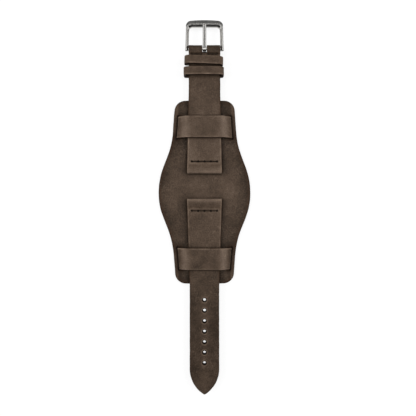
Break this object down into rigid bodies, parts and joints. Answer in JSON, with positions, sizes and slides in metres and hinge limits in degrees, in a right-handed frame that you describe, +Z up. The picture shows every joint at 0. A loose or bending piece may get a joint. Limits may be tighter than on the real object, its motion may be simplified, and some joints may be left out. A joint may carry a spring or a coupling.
{
  "type": "bund watch strap",
  "caption": "Two-piece leather watch strap carried on a wide wrist pad by two cross bands, with two keepers and a steel pin buckle.",
  "frame": {"origin": "centre of the pad's underside, on the pad's widest line, where it rests on the wrist", "axes": "+Z up from the wrist through the pad, +Y along the strap towards the buckle, +X to the right seen from above"},
  "size_m": [0.0524, 0.2131, 0.0094],
  "materials": {
    "outer_leather": "waxed pull-up leather, worn lighter at bends and edges",
    "lining_leather": "matt lining leather",
    "thread": "waxed dark thread",
    "buckle_steel": "satin with softly polished edges",
    "bar_steel": "turned"
  },
  "bodies": {
    "pad": {"pad_upper": "outer_leather", "pad_lining": "lining_leather", "band_buckle_side": "outer_leather", "band_tail_side": "outer_leather"},
    "buckle_strap": {"buckle_strap_upper": "outer_leather", "buckle_strap_lining": "lining_leather", "buckle_strap_lug_stitching": "thread", "buckle_end_stitching": "thread", "fixed_keeper": "outer_leather", "spring_bar_tube": "bar_steel", "spring_bar_spring": "bar_steel"},
    "tail_strap": {"tail_strap_upper": "outer_leather", "tail_strap_lining": "lining_leather", "tail_strap_lug_stitching": "thread"},
    "free_keeper": {"free_keeper": "outer_leather", "free_keeper_stitching": "thread"},
    "buckle_frame": {"buckle_frame": "buckle_steel"},
    "buckle_tongue": {"buckle_tongue": "buckle_steel"},
    "bar_pin_left": {"spring_bar_pin_left": "bar_steel"},
    "bar_pin_right": {"spring_bar_pin_right": "bar_steel"}
  },
  "joints": [
    {"name": "buckle_strap_slide", "type": "slide", "parent": "pad", "child": "buckle_strap", "axis": [0, 1, 0], "range_m": [-0.003, 0.0115]},
    {"name": "tail_strap_slide", "type": "slide", "parent": "pad", "child": "tail_strap", "axis": [0, -1, 0], "range_m": [-0.003, 0.019]},
    {"name": "free_keeper_slide", "type": "slide", "parent": "buckle_strap", "child": "free_keeper", "axis": [0, -1, 0], "range_m": [0, 0.008]},
    {"name": "buckle_pivot", "type": "hinge", "parent": "buckle_strap", "child": "buckle_frame", "pos_m": [0, 0.0818, 0.00465], "axis": [1, 0, 0], "range_deg": [-90, 30]},
    {"name": "tongue_pivot", "type": "hinge", "parent": "buckle_frame", "child": "buckle_tongue", "pos_m": [0, 0.0818, 0.00465], "axis": [1, 0, 0], "range_deg": [0, 90]},
    {"name": "bar_pin_left_slide", "type": "slide", "parent": "buckle_strap", "child": "bar_pin_left", "axis": [1, 0, 0], "range_m": [0, 0.001], "stiffness_N_per_m": 500, "springref_m": -0.0005, "deforming": ["spring_bar_spring"]},
    {"name": "bar_pin_right_slide", "type": "slide", "parent": "buckle_strap", "child": "bar_pin_right", "axis": [-1, 0, 0], "range_m": [0, 0.001], "stiffness_N_per_m": 500, "springref_m": -0.0005, "deforming": ["spring_bar_spring"]}
  ]
}
